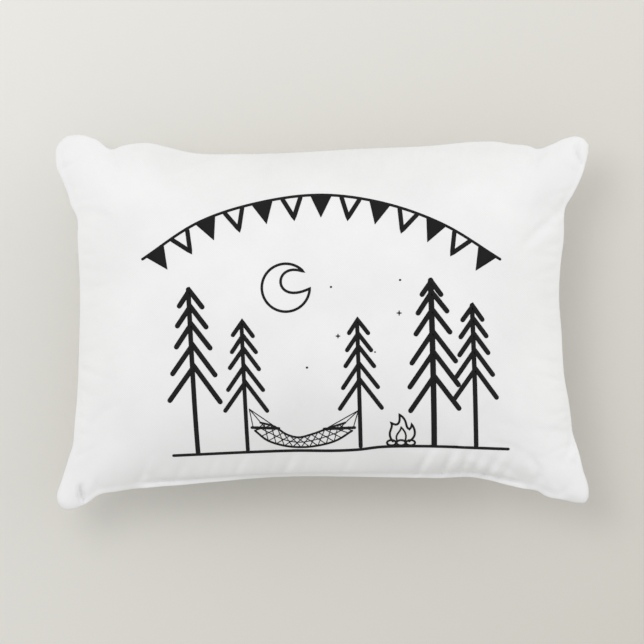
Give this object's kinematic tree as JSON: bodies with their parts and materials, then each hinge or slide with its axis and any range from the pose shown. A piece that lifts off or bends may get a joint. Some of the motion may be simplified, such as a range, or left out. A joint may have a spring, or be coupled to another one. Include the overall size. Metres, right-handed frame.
{
  "type": "throw pillow",
  "caption": "Rectangular zipped accent pillow with a line-print front, pointed corners and a fibre-filled insert, lying on its back.",
  "frame": {"origin": "middle of the flat patch that the pillow lies on, below the middle of the cover", "axes": "+Z out of the printed front, +X along the long edges towards the print's right, -Y towards the long edge with the zip"},
  "size_m": [0.396, 0.274, 0.13],
  "materials": {
    "cover_cloth": "plain-weave polyester, white, matt with a faint sheen",
    "thread": "spun polyester sewing thread, white",
    "label": "woven satin tape, white",
    "zip_tape": "woven polyester tape, white",
    "zip_coil": "nylon coil, white",
    "zip_metal": "die-cast zinc, white enamel",
    "insert_cloth": "non-woven polypropylene, white",
    "fill": "siliconised polyester fibre"
  },
  "bodies": {
    "cover": {"cover_front_panel": "cover_cloth", "cover_back_panel": "cover_cloth", "cover_seam_thread": "thread", "overlock_thread_front": "thread", "overlock_thread_back": "thread", "care_label": "label", "zip_tape_front": "zip_tape", "zip_tape_back": "zip_tape", "zip_stitching_front": "thread", "zip_stitching_back": "thread", "zip_coil_front": "zip_coil", "zip_coil_back": "zip_coil", "zip_top_stops": "zip_metal", "zip_bottom_stop": "zip_metal", "insert_casing_front": "insert_cloth", "insert_casing_back": "insert_cloth", "insert_seam_thread": "thread", "insert_closing_stitches": "thread", "insert_label": "label", "fibre_fill": "fill"},
    "zip_slider": {"zip_slider_body": "zip_metal"},
    "zip_pull": {"zip_pull_tab": "zip_metal"}
  },
  "joints": [
    {"name": "zip_slide", "type": "slide", "parent": "cover", "child": "zip_slider", "axis": [-1, 0, 0], "range_m": [0, 0.244], "deforming": ["zip_coil_front", "zip_coil_back"]},
    {"name": "pull_flip", "type": "hinge", "parent": "zip_slider", "child": "zip_pull", "pos_m": [0.1255, -0.11665, 0.062], "axis": [0, 0, 1], "range_deg": [0, 150]}
  ]
}
